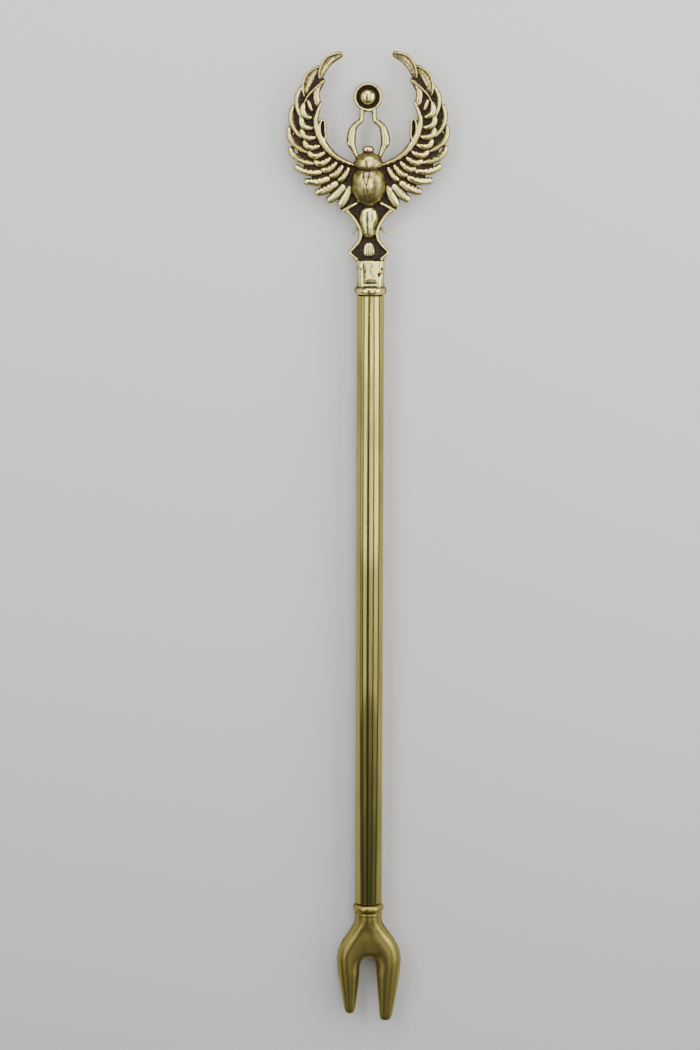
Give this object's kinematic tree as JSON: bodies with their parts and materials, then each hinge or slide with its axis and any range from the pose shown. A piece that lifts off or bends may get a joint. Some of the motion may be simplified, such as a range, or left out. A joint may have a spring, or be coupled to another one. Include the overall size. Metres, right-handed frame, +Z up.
{
  "type": "sceptre",
  "caption": "Cast brass sceptre with a winged scarab holding up a sun disc, a plain round tube shaft and a forked foot, lying face up.",
  "frame": {"origin": "on the surface that the sceptre lies on, under the middle of its overall box", "axes": "+Y along the shaft towards the winged head, +Z up out of the scarab's face, +X to the right of a viewer who faces the scarab with the head up"},
  "size_m": [0.0758, 0.4606, 0.0145],
  "materials": {
    "cast_brass": "cast and polished on the high relief, with dark brown patina in the hollows",
    "drawn_brass": "drawn tube, polished, with fine scratches along its length and slight tarnish"
  },
  "bodies": {
    "root": {"winged_scarab_head": "cast_brass", "shaft_tube": "drawn_brass", "forked_foot": "cast_brass"}
  },
  "joints": []
}
